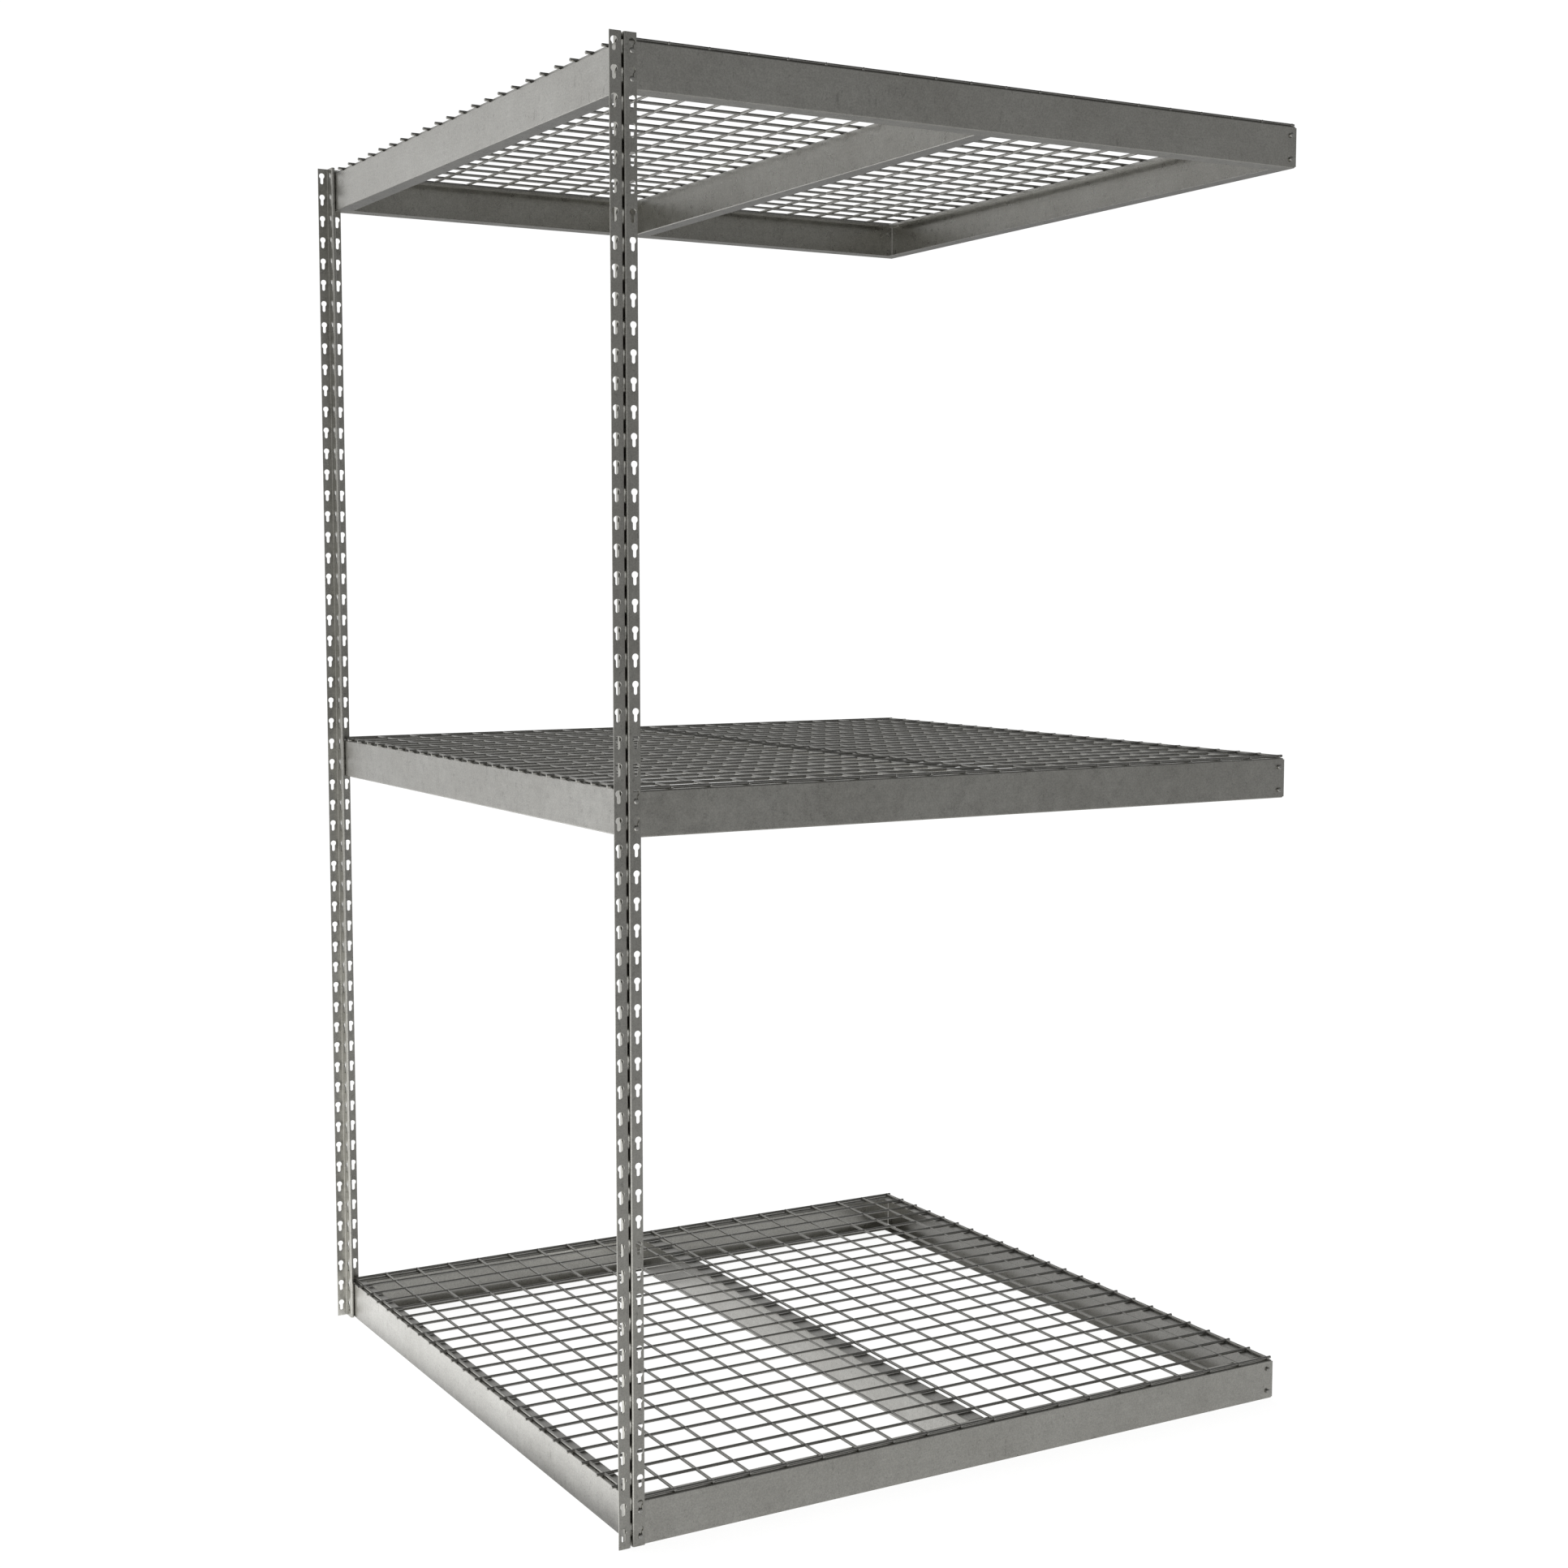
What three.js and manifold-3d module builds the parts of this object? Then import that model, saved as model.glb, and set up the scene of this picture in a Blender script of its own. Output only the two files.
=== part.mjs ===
// Boltless steel shelving, add-on bay: two tee posts on the left, three levels of channel
// beams riveted for keyhole posts, a channel support and a welded wire deck on each level.
// Millimetres, +Z up. X runs along the bay, Y from the front face to the rear face.
// The origin is the middle of the footprint, on the floor.
import * as THREE from 'three';
import { mergeVertices } from 'three/addons/utils/BufferGeometryUtils.js';
import Module from 'manifold-3d';

// ---- Driving dimensions -------------------------------------------------------------
const FIT = 0.3; // clearance left between pieces that touch
const DEPTH = 1219.2; // outer face of the front flanges to outer face of the rear flanges
const BAY_END = 1216; // right end of the long beams, from the tee post centre line

const POST = {
  height: 2133.6,
  sheet: 1.7,
  width: 41.6, // across both flanges
  slot: 3, // gap between the two leaves of the web
  webDepth: 26, // outer flange face to the folded tip
  bend: 1.5, // flat cut across each bend corner
};

const KEYHOLE = {
  pitch: 38.1,
  count: 56,
  firstSlot: 13.45, // lowest slot centre above the floor
  headRise: 11.85, // slot centre to head centre
  headRadius: 5,
  slotWidth: 5.4,
  flangeOffset: 13.7, // from the post centre line
  webOffset: 14.4, // from the outer flange face
};

const BEAM = { height: 66, sheet: 1.5, topFlange: 25, lip: 6 };
const LONG_BOTTOM_FLANGE = 33;
const SIDE_BOTTOM_FLANGE = 29;
const RIGHT_SIDE_FACE = 1215.4; // outer face of the right side beam
const CORNER_GAP = 2; // open slit left between a side beam's web and the long beam
const SUPPORT = { face: 605.5, flange: 29 };

const LEVEL_PITCHES = 27; // keyhole pitches from one level to the next
const LEVELS = ['bottom', 'middle', 'top'];

const RIVET = {
  shank: 2.4, // radius
  head: 3.9, // radius
  headThickness: 1.9,
  tail: 3.6, // radius of the clinched end
  tailThickness: 1.2,
  endInset: 11.5, // from the free end of a long beam
  sides: 6,
};

const WIRE = {
  radius: 2.2,
  weld: 3.6, // depth the crossing wires are pressed into each other
  across: 24, // wires along X
  along: 20, // wires along Y
  firstY: 8.7,
  firstX: 10.7,
  lastX: 1208.9,
  leftEnd: -3.5,
  cornerEnd: 5.5, // first and last wires stop short of the post web
  rightEnd: 1216.5,
  endInset: 4.5, // Y wires, from the outer flange face
};
const ALONG_KEPT = [0, 6, 13, 19]; // Y wires that carry this simplified deck

// ---- Values that follow ---------------------------------------------------------------
const LEAF = POST.slot / 2 + POST.sheet; // half the web's thickness
const LEFT = -POST.width / 2;
const RIVET_GRIP = POST.sheet + 2 * FIT; // beam face to the underside of the rivet head
const RIVET_REACH = RIVET_GRIP + RIVET.headThickness; // beam face to the top of the head
const RIGHT = RIGHT_SIDE_FACE + RIVET_REACH;
const LEVEL_RISE = LEVEL_PITCHES * KEYHOLE.pitch;
const LONG_FACE = POST.sheet + FIT; // outer face of the front beam
const SIDE_FACE = LEAF + FIT; // outer face of the left side beam
const RIVET_HEIGHTS = [KEYHOLE.firstSlot, KEYHOLE.firstSlot + KEYHOLE.pitch];
const LONG_RIVETS = [KEYHOLE.flangeOffset, BAY_END - RIVET.endInset];
const SIDE_RIVETS = [KEYHOLE.webOffset, DEPTH - KEYHOLE.webOffset];
const CROSS_END = LONG_FACE + BEAM.sheet + FIT; // where the supports' tongues begin
const SIDE_END = CROSS_END + CORNER_GAP; // where the side beams' webs begin
const TOP_START = LONG_FACE + BEAM.topFlange + FIT;
const BOTTOM_START = LONG_FACE + LONG_BOTTOM_FLANGE + FIT;

// ---- Solids ---------------------------------------------------------------------------
const wasm = await Module();
wasm.setup();

function toSolid(geometry) {
  const bare = geometry.clone();
  bare.deleteAttribute('normal');
  bare.deleteAttribute('uv');
  const merged = mergeVertices(bare, 1e-4);
  return new wasm.Manifold(new wasm.Mesh({
    numProp: 3,
    vertProperties: new Float32Array(merged.attributes.position.array),
    triVerts: new Uint32Array(merged.index.array),
  }));
}

function toGeometry(solid) {
  const mesh = solid.getMesh();
  const geometry = new THREE.BufferGeometry();
  geometry.setAttribute('position', new THREE.BufferAttribute(mesh.vertProperties, 3));
  geometry.setIndex(new THREE.BufferAttribute(mesh.triVerts, 1));
  geometry.computeVertexNormals();
  return geometry;
}

// The stretch of Y that starts at y and ends as far from the rear.
function mirroredRange(y) {
  return [y, DEPTH - y];
}

function box(x0, x1, y0, y1, z0, z1) {
  const geometry = new THREE.BoxGeometry(x1 - x0, y1 - y0, z1 - z0);
  geometry.translate((x0 + x1) / 2, (y0 + y1) / 2, (z0 + z1) / 2);
  return geometry;
}

function prism(points, depth) {
  const shape = new THREE.Shape(points.map(([x, y]) => new THREE.Vector2(x, y)));
  return new THREE.ExtrudeGeometry(shape, { depth, bevelEnabled: false });
}

function union(geometries) {
  return wasm.Manifold.union(geometries.map(toSolid));
}

// ---- Post -----------------------------------------------------------------------------
// Keyhole outline in its own plane: u across the flange, v up from the slot centre.
function keyholeOutline() {
  const half = KEYHOLE.slotWidth / 2;
  const head = KEYHOLE.headRadius;
  const rise = KEYHOLE.headRise;
  return [
    [-half, -half], [half, -half],
    [half, rise - head * 0.8], [head, rise - head * 0.1],
    [head * 0.55, rise + head], [-head * 0.55, rise + head],
    [-head, rise - head * 0.1], [-half, rise - head * 0.8],
  ];
}

// A cutter through the flanges runs along Y, and one through the web runs along X.
function flangeKeyhole(u, row) {
  const cutter = prism(keyholeOutline(), POST.sheet + 2);
  cutter.rotateX(Math.PI / 2);
  cutter.translate(u, POST.sheet + 1, KEYHOLE.firstSlot + row * KEYHOLE.pitch);
  return cutter;
}

function webKeyhole(row) {
  const cutter = prism(keyholeOutline(), 2 * LEAF + 2);
  cutter.rotateX(Math.PI / 2);
  cutter.rotateZ(Math.PI / 2);
  cutter.translate(-LEAF - 1, KEYHOLE.webOffset, KEYHOLE.firstSlot + row * KEYHOLE.pitch);
  return cutter;
}

// One folded strip: flange, bend, leaf, closed fold at the tip, leaf, bend, flange.
function postSection() {
  const half = POST.width / 2;
  const inner = POST.slot / 2;
  const tip = POST.webDepth;
  const cut = POST.bend;
  const rightHalf = [
    [inner, tip - POST.sheet], [inner, cut], [inner + cut, 0], [half, 0],
    [half, POST.sheet], [LEAF, POST.sheet], [LEAF, tip - cut], [LEAF - cut, tip],
  ];
  const leftHalf = rightHalf.map(([x, y]) => [-x, y]).reverse();
  return [...rightHalf, ...leftHalf];
}

function isUsedRow(row) {
  return row % LEVEL_PITCHES < 2;
}

function postGeometry() {
  const cutters = [];
  for (let row = 0; row < KEYHOLE.count; row += 1) {
    cutters.push(flangeKeyhole(-KEYHOLE.flangeOffset, row));
    cutters.push(flangeKeyhole(KEYHOLE.flangeOffset, row));
    if (isUsedRow(row)) {
      cutters.push(webKeyhole(row));
    }
  }
  const body = toSolid(prism(postSection(), POST.height));
  return toGeometry(body.subtract(union(cutters)));
}

// ---- Beams ----------------------------------------------------------------------------
// A channel along Y with its web at x = 0 and its flanges toward +X. Each of web, top and
// bottom is the stretch of Y that it covers.
function channel({ web, top, bottom, topFlange, bottomFlange, lip }) {
  const { height, sheet } = BEAM;
  const pieces = [
    box(0, sheet, ...web, 0, height),
    box(0, topFlange, ...top, height - sheet, height),
    box(0, bottomFlange, ...bottom, 0, sheet),
  ];
  if (lip > 0) {
    pieces.push(box(topFlange - sheet, topFlange, ...top, height - lip, height));
  }
  return union(pieces);
}

function rivetHoles(ends) {
  const holes = [];
  for (const y of ends) {
    for (const z of RIVET_HEIGHTS) {
      const hole = new THREE.CylinderGeometry(RIVET.shank + 2 * FIT, RIVET.shank + 2 * FIT, 6, RIVET.sides);
      hole.rotateZ(Math.PI / 2);
      hole.translate(0, y, z);
      holes.push(hole);
    }
  }
  return union(holes);
}

function longBeamGeometry() {
  const flanges = [SIDE_FACE + BEAM.sheet + FIT, RIGHT_SIDE_FACE - BEAM.sheet - FIT];
  const beam = channel({
    web: [SIDE_FACE, BAY_END], top: flanges, bottom: flanges,
    topFlange: BEAM.topFlange, bottomFlange: LONG_BOTTOM_FLANGE, lip: BEAM.lip,
  });
  return toGeometry(beam.subtract(rivetHoles(LONG_RIVETS)));
}

function sideChannel() {
  return channel({
    web: mirroredRange(SIDE_END), top: mirroredRange(TOP_START),
    bottom: mirroredRange(BOTTOM_START),
    topFlange: BEAM.topFlange, bottomFlange: SIDE_BOTTOM_FLANGE, lip: BEAM.lip,
  });
}

function leftSideBeamGeometry() {
  return toGeometry(sideChannel().subtract(rivetHoles(SIDE_RIVETS)));
}

// The right side beam's four rivets are clinched in and counted as part of the beam.
function rightSideBeamGeometry() {
  const rivets = [];
  for (const y of SIDE_RIVETS) {
    for (const z of RIVET_HEIGHTS) {
      const rivet = rivetLathe();
      rivet.rotateZ(-Math.PI / 2);
      rivet.translate(0, y, z);
      rivets.push(rivet);
    }
  }
  return toGeometry(sideChannel().add(union(rivets)));
}

// The support's flanges butt the long beams' flanges, and a tongue of its web reaches in
// between them, above the bottom flange and below the lip.
function supportGeometry() {
  const body = channel({
    web: mirroredRange(BOTTOM_START), top: mirroredRange(TOP_START),
    bottom: mirroredRange(BOTTOM_START),
    topFlange: SUPPORT.flange, bottomFlange: SUPPORT.flange, lip: 0,
  });
  const tongue = box(0, BEAM.sheet, ...mirroredRange(CROSS_END),
    BEAM.sheet + FIT, BEAM.height - BEAM.lip - FIT);
  return toGeometry(body.add(toSolid(tongue)));
}

// Turned on its shank, along Y: head outside the post sheet, tail inside the beam web.
// The beam's outer face is at 0 and the head lies toward -Y.
function rivetLathe() {
  const inside = BEAM.sheet + FIT;
  const profile = [
    [0, -RIVET_REACH], [RIVET.head * 0.7, -RIVET_REACH], [RIVET.head, -RIVET_GRIP],
    [RIVET.shank, -RIVET_GRIP], [RIVET.shank, inside],
    [RIVET.tail, inside], [RIVET.tail, inside + RIVET.tailThickness],
    [0, inside + RIVET.tailThickness],
  ].map(([r, y]) => new THREE.Vector2(r, y));
  return new THREE.LatheGeometry(profile, RIVET.sides);
}

// ---- Wire deck ------------------------------------------------------------------------
// Each wire is a four-sided bar standing on its edge, so crossing wires meet in a weld.
function wireAlongX(x0, x1, y, z) {
  const r = WIRE.radius;
  const wire = prism([[r, 0], [0, r], [-r, 0], [0, -r]], x1 - x0);
  wire.rotateY(Math.PI / 2);
  wire.translate(x0, y, z);
  return wire;
}

function wireAlongY(x, y0, y1, z) {
  const r = WIRE.radius;
  const wire = prism([[r, 0], [0, r], [-r, 0], [0, -r]], y1 - y0);
  wire.rotateX(Math.PI / 2);
  wire.translate(x, y1, z);
  return wire;
}

function deckGeometry() {
  const lower = BEAM.height + FIT + WIRE.radius;
  const upper = lower + 2 * WIRE.radius - WIRE.weld;
  const stepX = (WIRE.lastX - WIRE.firstX) / (WIRE.along - 1);
  const stepY = (DEPTH - 2 * WIRE.firstY) / (WIRE.across - 1);
  const wires = [];
  for (let row = 0; row < WIRE.across; row += 1) {
    const atCorner = row === 0 || row === WIRE.across - 1;
    const start = atCorner ? WIRE.cornerEnd : WIRE.leftEnd;
    wires.push(wireAlongX(start, WIRE.rightEnd, WIRE.firstY + row * stepY, upper));
  }
  for (const column of ALONG_KEPT) {
    const x = WIRE.firstX + column * stepX;
    wires.push(wireAlongY(x, WIRE.endInset, DEPTH - WIRE.endInset, lower));
  }
  return toGeometry(union(wires));
}

// ---- Assembly -------------------------------------------------------------------------
const steel = (color, roughness) => new THREE.MeshStandardMaterial({
  color, roughness, metalness: 0.85,
});

const unit = new THREE.Group();
unit.position.set(-(LEFT + RIGHT) / 2, -DEPTH / 2, 0);

function place(parent, name, geometry, material, position, turn = 0) {
  const mesh = new THREE.Mesh(geometry, material);
  mesh.name = name;
  mesh.position.set(...position);
  mesh.rotation.z = turn;
  parent.add(mesh);
}

const post = postGeometry();
place(unit, 'front_tee_post', post, steel(0x74746f, 0.5), [0, 0, 0]);
place(unit, 'rear_tee_post', post, steel(0x74746f, 0.5), [0, DEPTH, 0], Math.PI);

// A quarter turn lays the long channel along X. The front beam is the mirror of the rear one.
function mirroredY(geometry) {
  const mirrored = geometry.clone();
  mirrored.scale(1, -1, 1);
  const index = mirrored.index.array;
  for (let i = 0; i < index.length; i += 3) {
    [index[i], index[i + 1]] = [index[i + 1], index[i]];
  }
  mirrored.computeVertexNormals();
  return mirrored;
}

const rearBeam = longBeamGeometry();
rearBeam.rotateZ(-Math.PI / 2);
const frontBeam = mirroredY(rearBeam);
const leftSideBeam = leftSideBeamGeometry();
const rightSideBeam = rightSideBeamGeometry();
const support = supportGeometry();
const rivet = toGeometry(toSolid(rivetLathe()));
const deck = deckGeometry();

LEVELS.forEach((level, order) => {
  const group = new THREE.Group();
  group.position.z = order * LEVEL_RISE;
  unit.add(group);

  place(group, `${level}_front_beam`, frontBeam, steel(0x7c7c78, 0.5), [0, LONG_FACE, 0]);
  place(group, `${level}_rear_beam`, rearBeam, steel(0x7c7c78, 0.5),
    [0, DEPTH - LONG_FACE, 0]);
  place(group, `${level}_left_side_beam`, leftSideBeam, steel(0x83837f, 0.5),
    [SIDE_FACE, 0, 0]);
  place(group, `${level}_right_side_beam`, rightSideBeam, steel(0x83837f, 0.5),
    [RIGHT_SIDE_FACE, DEPTH, 0], Math.PI);
  place(group, `${level}_centre_support`, support, steel(0x83837f, 0.5),
    [SUPPORT.face, 0, 0]);
  place(group, `${level}_wire_deck`, deck, steel(0x4c4c49, 0.45), [0, 0, 0]);

  RIVET_HEIGHTS.forEach((z, high) => {
    const row = high ? 'upper' : 'lower';
    LONG_RIVETS.forEach((x, far) => {
      const end = far ? 'right' : 'left';
      place(group, `${level}_front_rivet_${end}_${row}`, rivet, steel(0x8a8a86, 0.4),
        [x, LONG_FACE, z]);
      place(group, `${level}_rear_rivet_${end}_${row}`, rivet, steel(0x8a8a86, 0.4),
        [x, DEPTH - LONG_FACE, z], Math.PI);
    });
    SIDE_RIVETS.forEach((y, far) => {
      const end = far ? 'rear' : 'front';
      place(group, `${level}_side_rivet_${end}_${row}`, rivet, steel(0x8a8a86, 0.4),
        [SIDE_FACE, y, z], -Math.PI / 2);
    });
  });
});

export default unit;
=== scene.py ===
"""Boltless steel shelving, add-on bay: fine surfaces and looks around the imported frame.

Metres, +Z up. Sheet steel is built as the folded middle surface of each strip and then given
its thickness, so bends, flanges, lips and keyholes are real geometry.
"""

import math
import random

import bmesh
import bpy
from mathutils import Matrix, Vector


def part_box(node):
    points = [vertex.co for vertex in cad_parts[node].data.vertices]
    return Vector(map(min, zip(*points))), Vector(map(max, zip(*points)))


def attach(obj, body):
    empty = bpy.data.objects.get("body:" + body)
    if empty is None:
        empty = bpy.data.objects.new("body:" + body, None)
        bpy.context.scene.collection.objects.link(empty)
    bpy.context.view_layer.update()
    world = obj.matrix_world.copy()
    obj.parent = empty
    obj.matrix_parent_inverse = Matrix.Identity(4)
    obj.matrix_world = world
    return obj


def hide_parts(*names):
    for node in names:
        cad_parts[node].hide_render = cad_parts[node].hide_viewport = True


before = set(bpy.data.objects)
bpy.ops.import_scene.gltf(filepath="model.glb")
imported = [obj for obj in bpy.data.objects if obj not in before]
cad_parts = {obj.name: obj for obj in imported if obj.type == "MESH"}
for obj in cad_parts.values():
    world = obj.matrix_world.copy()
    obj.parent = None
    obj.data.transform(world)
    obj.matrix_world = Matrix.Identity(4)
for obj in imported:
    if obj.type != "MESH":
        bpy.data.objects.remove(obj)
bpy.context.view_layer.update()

MM = 0.001
LEVELS = ("bottom", "middle", "top")

# Sheet and section sizes that the node boxes don't give.
POST_SHEET = 1.7 * MM
POST_SLOT = 3.0 * MM
POST_BEND = 1.9 * MM  # radius of the middle surface
KEYHOLE_PITCH = 38.1 * MM
KEYHOLE_COUNT = 56
FIRST_SLOT = 13.45 * MM
HEAD_RISE = 11.85 * MM
HEAD_RADIUS = 5.0 * MM
SLOT_RADIUS = 2.7 * MM
FLANGE_KEYHOLE = 13.7 * MM  # from the post's centre line
WEB_KEYHOLE = 14.4 * MM  # from the outer face of the flanges

BEAM_SHEET = 1.5 * MM
BEAM_BEND = 1.2 * MM
BEAM_TOP_FLANGE = 25.0 * MM
BEAM_LIP = 6.0 * MM
FIT = 0.3 * MM

WIRE_RADIUS = 2.4 * MM
WIRES_ALONG_X = 24
WIRES_ALONG_Y = 20
WIRE_SIDES = 14
WIRE_END_DRIFT = 0.6 * MM  # how unevenly the wires along X are cut
WIRE_BOW = 0.5 * MM  # largest sideways drift at a wire's middle
WIRE_CHAMFER = 0.5 * MM
WIRE_TIP = 0.7  # share of the radius left at a wire's end
WELD_RADIUS = 2.0 * MM
WELD_HEIGHT = 0.9 * MM
WELD_SIDES = 8
CORNER_START = 9.0 * MM  # from the deck's left edge to the start of the outermost X wires
FIRST_WIRE_X = 14.2 * MM  # from the deck's left edge
LAST_WIRE_X = 7.6 * MM  # from the deck's right edge
FIRST_WIRE_Y = 4.2 * MM  # from the deck's front edge

RIVET_GRIP = POST_SHEET + 2 * FIT  # beam face to the underside of the head
RIVET_HEAD = 3.9 * MM
RIVET_SHANK = 2.4 * MM
RIVET_CROWN = 1.9 * MM
RIVET_RIM = 0.35 * MM  # height of the head's straight edge
RIVET_TAIL = 3.6 * MM
RIVET_TAIL_TIP = 0.8  # share of the tail's radius left at its end
RIVET_TAIL_EDGE = 0.7  # share of the tail's thickness that is straight
RIVET_TAIL_THICKNESS = 1.2 * MM
RIVET_SIDES = 28
CROWN_STEPS = 6

EDGE_ROUND = 0.32 * MM
EDGE_STEPS = 2
SHARP_EDGE = math.radians(50)
SHARP_WIRE = math.radians(40)
BEND_STEPS = 5
HEM_STEPS = 10
HEAD_STEPS = 9


# ---- Materials ------------------------------------------------------------------------
def new_node(tree, kind, **inputs):
    node = tree.nodes.new(kind)
    for name, value in inputs.items():
        node.inputs[name.replace("_", " ")].default_value = value
    return node


def noise(tree, vector, scale, detail, roughness=0.5):
    node = new_node(tree, "ShaderNodeTexNoise", Scale=scale, Detail=detail,
                    Roughness=roughness)
    tree.links.new(vector, node.inputs["Vector"])
    return node.outputs["Fac"]


def stretched(tree, coords, scale):
    mapping = new_node(tree, "ShaderNodeMapping", Scale=scale)
    tree.links.new(coords, mapping.inputs["Vector"])
    return mapping.outputs["Vector"]


def remap(tree, value, low, high, to_low, to_high):
    node = new_node(tree, "ShaderNodeMapRange")
    for name, number in (("From Min", low), ("From Max", high),
                         ("To Min", to_low), ("To Max", to_high)):
        node.inputs[name].default_value = number
    tree.links.new(value, node.inputs["Value"])
    return node.outputs["Result"]


def mixed(tree, factor, first, second, blend="MIX"):
    node = tree.nodes.new("ShaderNodeMix")
    node.data_type = "RGBA"
    node.blend_type = blend
    if isinstance(factor, float):
        node.inputs["Factor"].default_value = factor
    else:
        tree.links.new(factor, node.inputs["Factor"])
    for socket, colour in ((node.inputs[6], first), (node.inputs[7], second)):
        if isinstance(colour, tuple):
            socket.default_value = (*colour, 1.0)
        else:
            tree.links.new(colour, socket)
    return node.outputs[2]


def product(tree, *values):
    result = values[0]
    for value in values[1:]:
        node = tree.nodes.new("ShaderNodeMath")
        node.operation = "MULTIPLY"
        tree.links.new(result, node.inputs[0])
        tree.links.new(value, node.inputs[1])
        result = node.outputs[0]
    return result


# Texture sizes are repeats per metre. Depths are the shares by which a texture shades the steel.
CLOUD_SCALE = 8.0
CLOUD_DEPTH = 0.07
MOTTLE_SCALE = 60.0
MOTTLE_DEPTH = 0.07
GRAIN_SCALE = 430.0
GRAIN_DEPTH = 0.14
STREAK_ACROSS = 260.0
STREAK_ALONG = 9.0
STREAK_DEPTH = 0.03
PIT_SCALE = 150.0
PIT_DEPTH = 0.18
SCUFF_SCALE = (170.0, 170.0, 38.0)
SCUFF_PLACE_SCALE = 7.0
SCUFF_DEPTH = 0.22
WARM = (1.01, 1.0, 0.985)
COOL = (0.995, 1.0, 1.005)


def shaded(tree, texture, low, high, depth):
    """A factor around 1 that is darker by depth at low and lighter by depth at high."""
    return remap(tree, texture, low, high, 1.0 - depth, 1.0 + depth)


def steel(name, colour, roughness, grain_axis, wear=1.0):
    """Bare mill steel: fine grain, cloudy mottling, rolling streaks, dark pits and scuffs."""
    material = bpy.data.materials.new(name)
    material.use_nodes = True
    tree = material.node_tree
    shader = tree.nodes["Principled BSDF"]
    coords = tree.nodes.new("ShaderNodeTexCoord").outputs["Object"]
    streak_scale = [STREAK_ACROSS] * 3
    streak_scale[grain_axis] = STREAK_ALONG

    clouds = noise(tree, coords, CLOUD_SCALE, 4.0, 0.6)
    mottling = noise(tree, coords, MOTTLE_SCALE, 4.0, 0.65)
    grain = noise(tree, coords, GRAIN_SCALE, 2.0, 0.6)
    streaks = noise(tree, stretched(tree, coords, streak_scale), 1.0, 2.0)
    pits = noise(tree, coords, PIT_SCALE, 1.0, 0.4)
    scratches = noise(tree, stretched(tree, coords, SCUFF_SCALE), 1.0, 3.0, 0.75)
    scuff_places = remap(tree, noise(tree, coords, SCUFF_PLACE_SCALE, 1.0), 0.45, 0.6, 0.6, 1.0)
    scuffs = product(tree, scratches, scuff_places)

    shade = product(
        tree,
        shaded(tree, clouds, 0.3, 0.7, CLOUD_DEPTH * wear),
        shaded(tree, mottling, 0.3, 0.7, MOTTLE_DEPTH * wear),
        shaded(tree, grain, 0.3, 0.7, GRAIN_DEPTH),
        shaded(tree, streaks, 0.25, 0.75, STREAK_DEPTH),
        remap(tree, pits, 0.70, 0.76, 1.0, 1.0 - PIT_DEPTH * wear),
        remap(tree, scuffs, 0.58, 0.70, 1.0, 1.0 - SCUFF_DEPTH * wear))
    grey = tree.nodes.new("ShaderNodeCombineColor")
    for channel in grey.inputs:
        tree.links.new(shade, channel)
    warm = tuple(c * k for c, k in zip(colour, WARM))
    cool = tuple(c * k for c, k in zip(colour, COOL))
    tint = mixed(tree, clouds, warm, cool)
    tree.links.new(mixed(tree, 1.0, tint, grey.outputs[0], "MULTIPLY"),
                   shader.inputs["Base Color"])

    tree.links.new(remap(tree, mottling, 0.3, 0.7, roughness - 0.05, roughness + 0.06),
                   shader.inputs["Roughness"])
    shader.inputs["Metallic"].default_value = 1.0
    bump = new_node(tree, "ShaderNodeBump", Strength=0.1, Distance=0.2 * MM)
    tree.links.new(product(tree, grain, streaks), bump.inputs["Height"])
    tree.links.new(bump.outputs["Normal"], shader.inputs["Normal"])
    return material


POST_STEEL = steel("post_steel", (0.475, 0.47, 0.437), 0.30, 2)
LONG_STEEL = steel("long_beam_steel", (0.53, 0.524, 0.489), 0.30, 0)
SIDE_STEEL = steel("side_beam_steel", (0.485, 0.48, 0.456), 0.30, 1)
RIVET_STEEL = steel("rivet_steel", (0.52, 0.515, 0.490), 0.28, 2, wear=0.5)
WIRE_STEEL = steel("wire_steel", (0.43, 0.426, 0.404), 0.30, 0, wear=0.5)


# ---- Mesh helpers ---------------------------------------------------------------------
def new_object(name, mesh, material):
    """Turns a bmesh into a linked object with one material."""
    data = bpy.data.meshes.new(name)
    mesh.to_mesh(data)
    mesh.free()
    data.materials.append(material)
    piece = bpy.data.objects.new(name, data)
    bpy.context.scene.collection.objects.link(piece)
    return piece


def circle(count):
    """(cosine, sine) of count points evenly round a circle."""
    angles = (2 * math.pi * i / count for i in range(count))
    return [(math.cos(a), math.sin(a)) for a in angles]


def skin(add_face, rings):
    """Closes a stack of rings with a cap at each end and the bands between."""
    add_face(rings[0])
    add_face(rings[-1])
    for one, two in zip(rings, rings[1:]):
        for i in range(len(one)):
            j = (i + 1) % len(one)
            add_face([one[i], one[j], two[j], two[i]])


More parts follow.
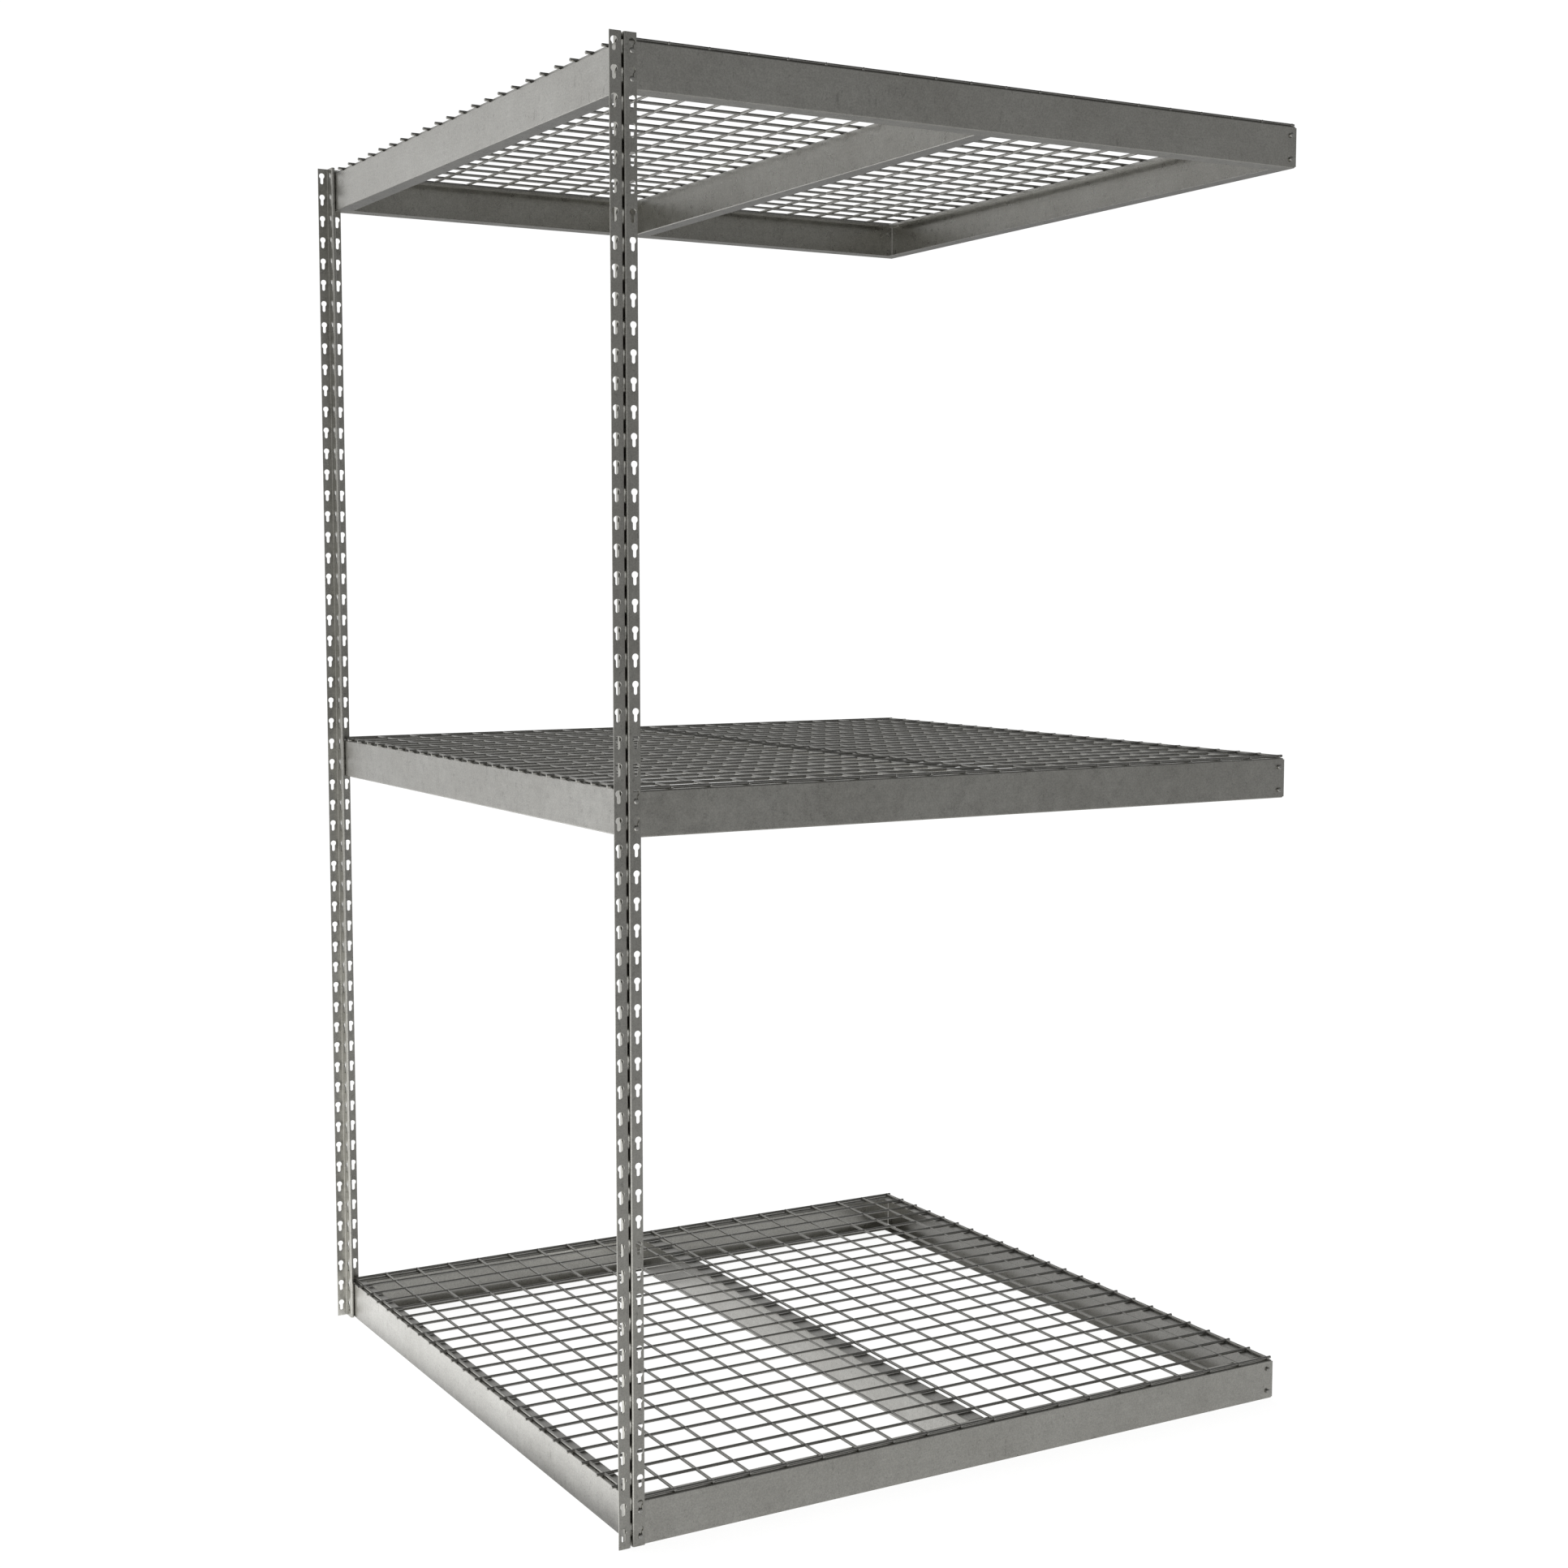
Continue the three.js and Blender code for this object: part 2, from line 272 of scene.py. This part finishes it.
class SheetMesh:
    """Faces that share their corners, so one strip is one connected surface."""

    def __init__(self):
        self.mesh = bmesh.new()
        self.corners = {}

    def corner(self, point):
        key = tuple(round(c, 7) for c in point)
        if key not in self.corners:
            self.corners[key] = self.mesh.verts.new(key)
        return self.corners[key]

    def face(self, points):
        self.mesh.faces.new([self.corner(p) for p in points])

    def finish(self, name, material, body, thickness=None, round_edges=True):
        bmesh.ops.recalc_face_normals(self.mesh, faces=self.mesh.faces[:])
        piece = new_object(name, self.mesh, material)
        piece.data.shade_smooth()
        if thickness:
            solid = piece.modifiers.new("thickness", "SOLIDIFY")
            solid.thickness = thickness
            solid.offset = 0.0
            solid.use_even_offset = True
        if round_edges:
            bevel = piece.modifiers.new("edges", "BEVEL")
            bevel.width = EDGE_ROUND
            bevel.segments = EDGE_STEPS
            bevel.limit_method = "ANGLE"
            bevel.angle_limit = SHARP_EDGE
            bevel.use_clamp_overlap = False
        weighted = piece.modifiers.new("shading", "WEIGHTED_NORMAL")
        weighted.weight = 100
        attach(piece, body)
        return piece


def arc(centre, radius, start, end, steps):
    """Points of an arc from start to end, in degrees, both included."""
    angles = (math.radians(start + (end - start) * i / steps) for i in range(steps + 1))
    return [(centre[0] + radius * math.cos(a), centre[1] + radius * math.sin(a))
            for a in angles]


def keyhole_side():
    """Right half of a keyhole from its lowest to its highest point: (across, up)."""
    join = math.asin(SLOT_RADIUS / HEAD_RADIUS)
    slot_arc = arc((0.0, 0.0), SLOT_RADIUS, -90, 0, BEND_STEPS)
    head_arc = arc((0.0, HEAD_RISE), HEAD_RADIUS, -90 + math.degrees(join), 90, HEAD_STEPS)
    return slot_arc + head_arc


# ---- Tee posts ------------------------------------------------------------------------
def post_path():
    """Middle surface of the folded strip as (points, keyhole) runs, from the left edge.

    The outer flange faces lie on 0 and the web runs toward +Y. keyhole is the distance
    along the run to the line of keyholes, or None in a bend.
    """
    half = POST_SHEET / 2
    leaf = POST_SLOT / 2 + half
    bend_y = half + POST_BEND
    bend_x = leaf + POST_BEND
    lo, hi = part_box("front_tee_post")
    edge = (hi.x - lo.x) / 2
    tip_y = hi.y - lo.y - half - leaf
    left = [
        ([(-edge, half), (-bend_x, half)], edge - FLANGE_KEYHOLE),
        (arc((-bend_x, bend_y), POST_BEND, -90, 0, BEND_STEPS), None),
        ([(-leaf, bend_y), (-leaf, tip_y)], WEB_KEYHOLE - bend_y),
    ]
    hem = (arc((0.0, tip_y), leaf, 180, 0, HEM_STEPS), None)
    right = []
    for points, keyhole in reversed(left):
        back = [(-x, y) for x, y in reversed(points)]
        length = math.dist(points[0], points[-1])
        right.append((back, None if keyhole is None else length - keyhole))
    return [*left, hem, *right]


def along(points, distance):
    start, end = points
    share = distance / math.dist(start, end)
    return tuple(a + (b - a) * share for a, b in zip(start, end))


def add_keyhole_cell(sheet, points, keyhole, row, z0, z1):
    """One pitch of a flat run: two faces that meet above and below the keyhole."""
    slot_z = FIRST_SLOT + row * KEYHOLE_PITCH
    outline = keyhole_side()
    centre = along(points, keyhole)
    for side, edge in ((-1, points[0]), (1, points[1])):
        rim = [(*along(points, keyhole + side * u), slot_z + v) for u, v in outline]
        sheet.face([(*edge, z0), (*centre, z0), *rim, (*centre, z1), (*edge, z1)])


def build_post(name, turned):
    lo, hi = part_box(name)
    centre_x = (lo.x + hi.x) / 2
    face_y = hi.y if turned else lo.y
    facing = -1 if turned else 1
    heights = [FIRST_SLOT + HEAD_RISE / 2 + (row - 0.5) * KEYHOLE_PITCH
               for row in range(1, KEYHOLE_COUNT)]
    heights = [lo.z, *heights, hi.z]
    sheet = SheetMesh()
    for points, keyhole in post_path():
        placed = [(centre_x + facing * x, face_y + facing * y) for x, y in points]
        for row, (z0, z1) in enumerate(zip(heights, heights[1:])):
            if keyhole is not None:
                add_keyhole_cell(sheet, placed, keyhole, row, z0, z1)
                continue
            for a, b in zip(placed, placed[1:]):
                sheet.face([(*a, z0), (*b, z0), (*b, z1), (*a, z1)])
    piece = sheet.finish(f"{name}_strip", POST_STEEL, "frame", POST_SHEET)
    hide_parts(name)


# ---- Channels -------------------------------------------------------------------------
def channel_runs(height, bottom_flange, top_flange, lip, web, flange_low, flange_high):
    """The folded strip of a channel as (points, stretch) runs from lip to bottom flange.

    Points are (inward, up) on the middle surface with the outer web face on 0. A stretch is
    the (start, end) of the run along the beam. web is [(low, high, stretch), ...].
    """
    half = BEAM_SHEET / 2
    bend = half + BEAM_BEND
    runs = []
    if lip:
        inner = top_flange - bend
        runs.append(([(top_flange - half, height - lip), (top_flange - half, height - bend)],
                     flange_high))
        runs.append((arc((inner, height - bend), BEAM_BEND, 0, 90, BEND_STEPS), flange_high))
        runs.append(([(inner, height - half), (bend, height - half)], flange_high))
    else:
        runs.append(([(top_flange, height - half), (bend, height - half)], flange_high))
    runs.append((arc((bend, height - bend), BEAM_BEND, 90, 180, BEND_STEPS), flange_high))
    for low, high, stretch in web:
        runs.append(([(half, high), (half, low)], stretch))
    runs.append((arc((bend, bend), BEAM_BEND, 180, 270, BEND_STEPS), flange_low))
    runs.append(([(bend, half), (bottom_flange, half)], flange_low))
    return runs


def build_channel(name, runs, place, material, node):
    """place(inward, along, up) gives the point in the row frame."""
    stations = sorted({s for _, stretch in runs for s in stretch})
    sheet = SheetMesh()
    for points, (start, end) in runs:
        for s0, s1 in zip(stations, stations[1:]):
            if s0 < start or s1 > end:
                continue
            for a, b in zip(points, points[1:]):
                sheet.face([place(a[0], s0, a[1]), place(b[0], s0, b[1]),
                            place(b[0], s1, b[1]), place(a[0], s1, a[1])])
    piece = sheet.finish(name, material, "frame", BEAM_SHEET)
    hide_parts(node)


# ---- Rivets ---------------------------------------------------------------------------
def rivet_profile():
    """(radius, distance out from the beam's face), from the crown to the clinched tail."""
    inside = BEAM_SHEET + FIT
    rim = RIVET_GRIP + RIVET_RIM
    crown = [(RIVET_HEAD * math.sin(t), rim + (RIVET_CROWN - RIVET_RIM) * math.cos(t))
             for t in (math.radians(90 * i / CROWN_STEPS) for i in range(1, CROWN_STEPS + 1))]
    tail = [(RIVET_TAIL, -inside),
            (RIVET_TAIL, -inside - RIVET_TAIL_EDGE * RIVET_TAIL_THICKNESS),
            (RIVET_TAIL * RIVET_TAIL_TIP, -inside - RIVET_TAIL_THICKNESS)]
    return [*crown, (RIVET_HEAD, RIVET_GRIP), (RIVET_SHANK, RIVET_GRIP),
            (RIVET_SHANK, -inside), *tail]


def add_rivet(sheet, base, out):
    """out is the (x, y) direction in which the head stands off the beam."""
    across = (-out[1], out[0])
    rings = []
    for radius, distance in rivet_profile():
        x = base[0] + out[0] * distance
        y = base[1] + out[1] * distance
        rings.append([(x + across[0] * radius * u, y + across[1] * radius * u,
                       base[2] + radius * v) for u, v in circle(RIVET_SIDES)])
    skin(sheet.face, rings)


def build_rivet(node, out):
    lo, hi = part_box(node)
    middle = (lo + hi) / 2
    reach = RIVET_GRIP + RIVET_CROWN
    base = [middle.x, middle.y, middle.z]
    for axis in (0, 1):
        if out[axis]:
            tip = hi[axis] if out[axis] > 0 else lo[axis]
            base[axis] = tip - out[axis] * reach
    sheet = SheetMesh()
    add_rivet(sheet, base, out)
    piece = sheet.finish(f"{node}_turned", RIVET_STEEL, "frame",
                         round_edges=False)
    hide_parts(node)


def add_staked_rivets(name, node, face_x, spots):
    sheet = SheetMesh()
    for y, z in spots:
        add_rivet(sheet, (face_x, y, z), (1.0, 0.0))
    piece = sheet.finish(name, RIVET_STEEL, "frame", round_edges=False)
    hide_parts(node)


# ---- Wire decks -----------------------------------------------------------------------
def add_wire(mesh, start, end, bow):
    """A round bar with chamfered ends. bow is a sideways drift at its middle."""
    axis = 0 if abs(end[0] - start[0]) > abs(end[1] - start[1]) else 1
    side = 1 - axis
    length = end[axis] - start[axis]
    tip = WIRE_CHAMFER / length
    stations = [(0.0, WIRE_TIP), (tip, 1.0), (0.25, 1.0), (0.5, 1.0), (0.75, 1.0),
                (1 - tip, 1.0), (1.0, WIRE_TIP)]
    rings = []
    for share, scale in stations:
        centre = [start[k] + (end[k] - start[k]) * share for k in range(3)]
        centre[side] += bow * math.sin(math.pi * share)
        ring = []
        for u, v in circle(WIRE_SIDES):
            point = list(centre)
            point[side] += WIRE_RADIUS * scale * u
            point[2] += WIRE_RADIUS * scale * v
            ring.append(mesh.verts.new(point))
        rings.append(ring)
    skin(mesh.faces.new, rings)


def add_weld(mesh, x, y, z):
    """A small flattened bead where two wires are fused."""
    rings = []
    for elevation in (-45, 0, 45):
        e = math.radians(elevation)
        radius = WELD_RADIUS * math.cos(e)
        height = z + WELD_HEIGHT * math.sin(e)
        rings.append([mesh.verts.new((x + radius * u, y + radius * v, height))
                      for u, v in circle(WELD_SIDES)])
    skin(mesh.faces.new, rings)


def spread(first, last, count):
    return [first + (last - first) * i / (count - 1) for i in range(count)]


def build_deck(level, rng):
    node = f"{level}_wire_deck"
    lo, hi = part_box(node)
    upper = hi.z - WIRE_RADIUS
    lower = lo.z + WIRE_RADIUS
    xs = spread(lo.x + FIRST_WIRE_X, hi.x - LAST_WIRE_X, WIRES_ALONG_Y)
    ys = spread(lo.y + FIRST_WIRE_Y, hi.y - FIRST_WIRE_Y, WIRES_ALONG_X)
    mesh = bmesh.new()
    for i, y in enumerate(ys):
        outermost = i in (0, WIRES_ALONG_X - 1)
        start = lo.x + (CORNER_START if outermost else rng.uniform(0.0, WIRE_END_DRIFT))
        bow = 0.0 if outermost else rng.uniform(-WIRE_BOW, WIRE_BOW)
        end = hi.x - rng.uniform(0.0, WIRE_END_DRIFT)
        add_wire(mesh, (start, y, upper), (end, y, upper), bow)
    for i, x in enumerate(xs):
        outermost = i in (0, WIRES_ALONG_Y - 1)
        bow = 0.0 if outermost else rng.uniform(-WIRE_BOW, WIRE_BOW)
        add_wire(mesh, (x, lo.y, lower), (x, hi.y, lower), bow)
    for x in xs:
        for y in ys:
            add_weld(mesh, x, y, (upper + lower) / 2)
    bmesh.ops.recalc_face_normals(mesh, faces=mesh.faces[:])
    piece = new_object(f"{node}_wires", mesh, WIRE_STEEL)
    piece.data.shade_smooth()
    piece.data.set_sharp_from_angle(angle=SHARP_WIRE)
    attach(piece, f"{level}_deck")
    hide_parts(node)


# ---- The frame of one level -----------------------------------------------------------
def build_level_frame(level):
    front_lo, front_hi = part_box(f"{level}_front_beam")
    rear_lo, rear_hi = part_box(f"{level}_rear_beam")
    left_lo, left_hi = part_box(f"{level}_left_side_beam")
    right_lo, right_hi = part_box(f"{level}_right_side_beam")
    mid_lo, mid_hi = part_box(f"{level}_centre_support")
    floor = front_lo.z
    height = front_hi.z - floor
    bend = BEAM_SHEET / 2 + BEAM_BEND
    full_web = (bend, height - bend)

    right_face = right_hi.x - RIVET_GRIP - RIVET_CROWN
    flanges = (left_lo.x + BEAM_SHEET + FIT, right_face - BEAM_SHEET - FIT)
    bottom_flange = front_hi.y - front_lo.y
    runs = channel_runs(height, bottom_flange, BEAM_TOP_FLANGE, BEAM_LIP,
                        [(*full_web, (front_lo.x, front_hi.x))], flanges, flanges)
    build_channel(f"{level}_front_channel", runs,
                  lambda a, s, z: (s, front_lo.y + a, floor + z),
                  LONG_STEEL, f"{level}_front_beam")
    build_channel(f"{level}_rear_channel", runs,
                  lambda a, s, z: (s, rear_hi.y - a, floor + z),
                  LONG_STEEL, f"{level}_rear_beam")

    def inside(offset):
        return (front_lo.y + offset, rear_hi.y - offset)

    top = inside(BEAM_TOP_FLANGE + FIT)
    bottom = inside(bottom_flange + FIT)
    side_flange = left_hi.x - left_lo.x
    runs = channel_runs(height, side_flange, BEAM_TOP_FLANGE, BEAM_LIP,
                        [(*full_web, (left_lo.y, left_hi.y))], bottom, top)
    build_channel(f"{level}_left_side_channel", runs,
                  lambda a, s, z: (left_lo.x + a, s, floor + z),
                  SIDE_STEEL, f"{level}_left_side_beam")
    build_channel(f"{level}_right_side_channel", runs,
                  lambda a, s, z: (right_face - a, s, floor + z),
                  SIDE_STEEL, f"{level}_right_side_beam")
    spots = []
    for row in ("lower", "upper"):
        for end in ("front", "rear"):
            lo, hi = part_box(f"{level}_side_rivet_{end}_{row}")
            spots.append(((lo.y + hi.y) / 2, (lo.z + hi.z) / 2))
    add_staked_rivets(f"{level}_right_side_rivets", f"{level}_right_side_beam", right_face,
                      spots)

    # Below the long beams' lips, the support's web runs on past its top flange at both ends.
    tongue = height - BEAM_LIP - FIT
    flange = mid_hi.x - mid_lo.x
    web = [(tongue, height - bend, top), (bend, tongue, (mid_lo.y, mid_hi.y))]
    runs = channel_runs(height, flange, flange, 0.0, web, bottom, top)
    build_channel(f"{level}_support_channel", runs,
                  lambda a, s, z: (mid_lo.x + a, s, floor + z),
                  SIDE_STEEL, f"{level}_centre_support")

    for row in ("lower", "upper"):
        for end in ("left", "right"):
            build_rivet(f"{level}_front_rivet_{end}_{row}", (0.0, -1.0))
            build_rivet(f"{level}_rear_rivet_{end}_{row}", (0.0, 1.0))
        for end in ("front", "rear"):
            build_rivet(f"{level}_side_rivet_{end}_{row}", (-1.0, 0.0))


build_post("front_tee_post", turned=False)
build_post("rear_tee_post", turned=True)
wire_drift = random.Random(7)
for level_name in LEVELS:
    build_level_frame(level_name)
    build_deck(level_name, wire_drift)


# ---- Studio ---------------------------------------------------------------------------
FLOOR_RADIUS = 90.0
FLOOR_WHITE = 0.86  # glow of the white paper itself
BRIGHT_FLOOR = (-1.0, 0.036, 0.0)  # the mirrored floor is brightest on the object's left
FLOOR_DIM = 0.46  # mirrored brightness under and right of the object, and on its left
FLOOR_BRIGHT = 1.4
GLOW_START = 0.59  # distances to the left between which it turns bright
GLOW_END = 0.66
FADE_START = 1.2  # distances from the object between which it fades to FLOOR_FAR of itself
FADE_END = 8.0
FLOOR_FAR = 0.5
CARD_WIDTH = 0.11  # light card on the floor, left of the bottom centre support's web
CARD_FRONT = -0.58
CARD_REAR = 0.46
CARD_SOFTNESS = 0.02
CARD_GAIN = 1.9  # times brighter than the floor around it

BRIGHT_WALL = (-0.35, 0.94, 0.0)  # the mirrored walls are brightest behind the object
WALL_DIM = 0.31
WALL_BRIGHT = 0.78
CEILING = 0.2  # share of the walls' brightness overhead
BACKDROP = 1.05  # what the camera sees in place of the walls


def toward(tree, vector, side, dim_at, bright_at, dim, bright):
    """Brightness that grows from the dim side of the studio to the bright side."""
    node = tree.nodes.new("ShaderNodeVectorMath")
    node.operation = "DOT_PRODUCT"
    tree.links.new(vector, node.inputs[0])
    node.inputs[1].default_value = side
    return remap(tree, node.outputs["Value"], dim_at, bright_at, dim, bright)


def camera_sees(tree, mirrored, seen):
    """Shows the camera one shader, and the steel that mirrors the studio another."""
    camera_ray = tree.nodes.new("ShaderNodeLightPath").outputs["Is Camera Ray"]
    chosen = tree.nodes.new("ShaderNodeMixShader")
    for source, socket in zip((camera_ray, mirrored, seen), chosen.inputs):
        tree.links.new(source, socket)
    return chosen.outputs[0]


def light_card(tree, coords):
    """1 on a strip of floor on the left of the bottom centre support, 0 elsewhere."""
    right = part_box("bottom_centre_support")[0].x
    edges = []
    for axis, low, high in (((1.0, 0.0, 0.0), right - CARD_WIDTH, right),
                            ((0.0, 1.0, 0.0), CARD_FRONT, CARD_REAR)):
        edges.append(toward(tree, coords, axis, low - CARD_SOFTNESS, low, 0.0, 1.0))
        edges.append(toward(tree, coords, axis, high, high + CARD_SOFTNESS, 1.0, 0.0))
    return product(tree, *edges)


def build_floor():
    """White paper floor. The steel mirrors a darker one, which is bright on the left."""
    material = bpy.data.materials.new("studio_floor")
    material.use_nodes = True
    tree = material.node_tree
    paper = tree.nodes["Principled BSDF"]
    coords = tree.nodes.new("ShaderNodeTexCoord").outputs["Object"]
    fibres = noise(tree, coords, 3.0, 2.0)
    tree.links.new(mixed(tree, fibres, (0.93, 0.93, 0.925), (0.95, 0.95, 0.945)),
                   paper.inputs["Base Color"])
    paper.inputs["Roughness"].default_value = 0.9
    paper.inputs["Specular IOR Level"].default_value = 0.1
    paper.inputs["Emission Color"].default_value = (1.0, 1.0, 1.0, 1.0)
    paper.inputs["Emission Strength"].default_value = FLOOR_WHITE
    glow = tree.nodes.new("ShaderNodeEmission")
    distance = tree.nodes.new("ShaderNodeVectorMath")
    distance.operation = "LENGTH"
    tree.links.new(coords, distance.inputs[0])
    near_glow = toward(tree, coords, BRIGHT_FLOOR, GLOW_START, GLOW_END,
                       FLOOR_DIM, FLOOR_BRIGHT)
    fade = remap(tree, distance.outputs["Value"], FADE_START, FADE_END, 1.0, FLOOR_FAR)
    card = remap(tree, light_card(tree, coords), 0.0, 1.0, 1.0, CARD_GAIN)
    tree.links.new(product(tree, near_glow, fade, card), glow.inputs["Strength"])
    tree.links.new(camera_sees(tree, glow.outputs[0], paper.outputs[0]),
                   tree.nodes["Material Output"].inputs["Surface"])
    mesh = bmesh.new()
    bmesh.ops.create_circle(mesh, cap_ends=True, segments=96, radius=FLOOR_RADIUS)
    floor = new_object("studio_floor", mesh, material)


def build_world():
    """Soft surroundings, dim in front and overhead, with a plain white backdrop."""
    world = bpy.data.worlds.new("studio")
    world.use_nodes = True
    bpy.context.scene.world = world
    tree = world.node_tree
    tree.nodes.clear()
    direction = tree.nodes.new("ShaderNodeTexCoord").outputs["Generated"]
    split = tree.nodes.new("ShaderNodeSeparateXYZ")
    tree.links.new(direction, split.inputs[0])
    walls = toward(tree, direction, BRIGHT_WALL, -0.5, 0.9, WALL_DIM, WALL_BRIGHT)
    fade = remap(tree, split.outputs["Z"], 0.05, 0.8, 1.0, CEILING)
    surroundings = tree.nodes.new("ShaderNodeBackground")
    tree.links.new(product(tree, walls, fade), surroundings.inputs["Strength"])
    backdrop = tree.nodes.new("ShaderNodeBackground")
    backdrop.inputs["Strength"].default_value = BACKDROP
    for shader in (surroundings, backdrop):
        shader.inputs["Color"].default_value = (1.0, 1.0, 1.0, 1.0)
    output = tree.nodes.new("ShaderNodeOutputWorld")
    tree.links.new(camera_sees(tree, surroundings.outputs[0], backdrop.outputs[0]),
                   output.inputs["Surface"])


KEY_ENERGY = 0.12
KEY_WIDTH = math.radians(70)
KEY_TURN = (math.radians(-58), 0.0, math.radians(37))


def build_key_light():
    """One wide soft light from behind the object, on its left."""
    key = bpy.data.lights.new("key", "SUN")
    key.energy = KEY_ENERGY
    key.angle = KEY_WIDTH
    lamp = bpy.data.objects.new("key", key)
    lamp.rotation_euler = KEY_TURN
    bpy.context.scene.collection.objects.link(lamp)


CAMERA_PLACE = (-2.0018, -3.4777, 1.3887)
CAMERA_AZIMUTH = 29.99  # degrees from +Y toward +X
CAMERA_ELEVATION = -5.08
CAMERA_LENS = 52.48  # mm
CAMERA_SENSOR = 36.0  # mm
CAMERA_REACH = 200.0


def build_camera():
    camera = bpy.data.cameras.new("camera")
    camera.sensor_width = CAMERA_SENSOR
    camera.lens = CAMERA_LENS
    camera.clip_end = CAMERA_REACH
    view = bpy.data.objects.new("camera", camera)
    view.location = CAMERA_PLACE
    view.rotation_euler = (math.radians(90 + CAMERA_ELEVATION), 0.0,
                           -math.radians(CAMERA_AZIMUTH))
    bpy.context.scene.collection.objects.link(view)
    bpy.context.scene.camera = view


build_floor()
build_world()
build_key_light()
build_camera()
bpy.context.scene.view_settings.view_transform = "Standard"
